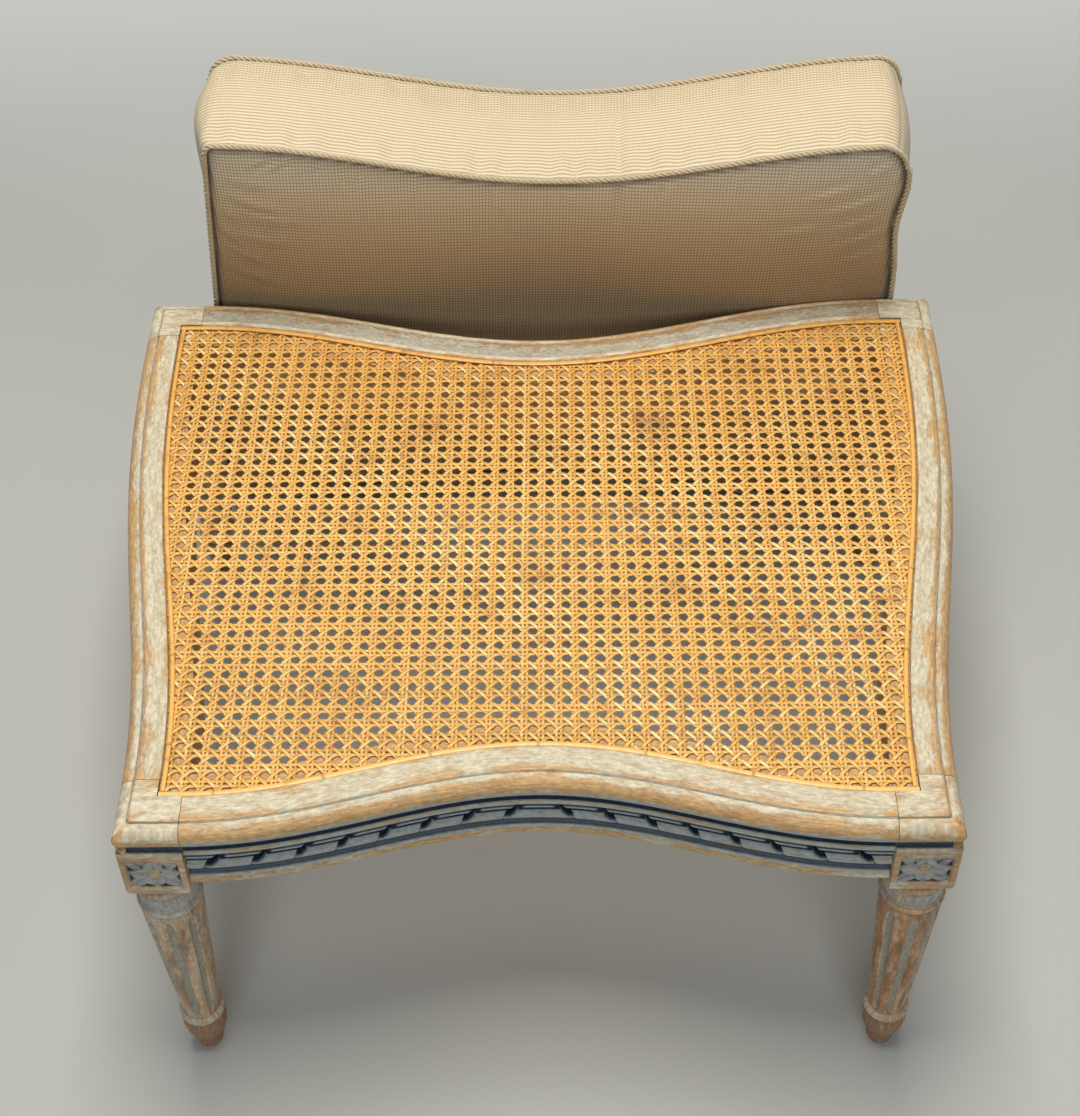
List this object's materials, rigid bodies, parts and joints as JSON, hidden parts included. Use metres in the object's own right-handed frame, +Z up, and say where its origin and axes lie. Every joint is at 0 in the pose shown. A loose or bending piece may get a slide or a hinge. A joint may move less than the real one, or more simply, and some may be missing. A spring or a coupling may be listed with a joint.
{
  "type": "caned stool with loose cushion",
  "caption": "Painted and carved caned stool, the middle seat of a sectional daybed, with curved rails, fluted turned legs and a loose box cushion standing behind it.",
  "frame": {"origin": "on the floor, under the middle of the whole object's box", "axes": "+Z up, +Y from the stool's front towards the cushion behind it, +X to the right seen from the front"},
  "size_m": [0.703, 0.7644, 0.5265],
  "materials": {
    "worn_paint": "cream and grey paint worn to the wood",
    "beech_peg": "bare wood",
    "honey_cane": "satin woven cane",
    "cane_binder": "satin split cane",
    "check_cloth": "fine checked weave",
    "twisted_piping": "twisted cord",
    "hair_filling": "loose stuffing"
  },
  "bodies": {
    "stool": {"front_rail": "worn_paint", "rear_rail": "worn_paint", "left_rail": "worn_paint", "right_rail": "worn_paint", "front_left_leg": "worn_paint", "front_right_leg": "worn_paint", "rear_left_leg": "worn_paint", "rear_right_leg": "worn_paint", "front_left_rail_peg": "beech_peg", "front_left_side_peg": "beech_peg", "front_right_rail_peg": "beech_peg", "front_right_side_peg": "beech_peg", "rear_left_rail_peg": "beech_peg", "rear_left_side_peg": "beech_peg", "rear_right_rail_peg": "beech_peg", "rear_right_side_peg": "beech_peg", "cane_panel": "honey_cane", "front_binder": "cane_binder", "rear_binder": "cane_binder", "left_binder": "cane_binder", "right_binder": "cane_binder"},
    "cushion": {"cushion_front_panel": "check_cloth", "cushion_back_panel": "check_cloth", "cushion_boxing": "check_cloth", "cushion_front_piping": "twisted_piping", "cushion_back_piping": "twisted_piping", "cushion_filling": "hair_filling"}
  },
  "joints": [
    {"name": "cushion_lift", "type": "slide", "parent": "stool", "child": "cushion", "axis": [0, 0, 1], "range_m": [0, 0.45]}
  ]
}
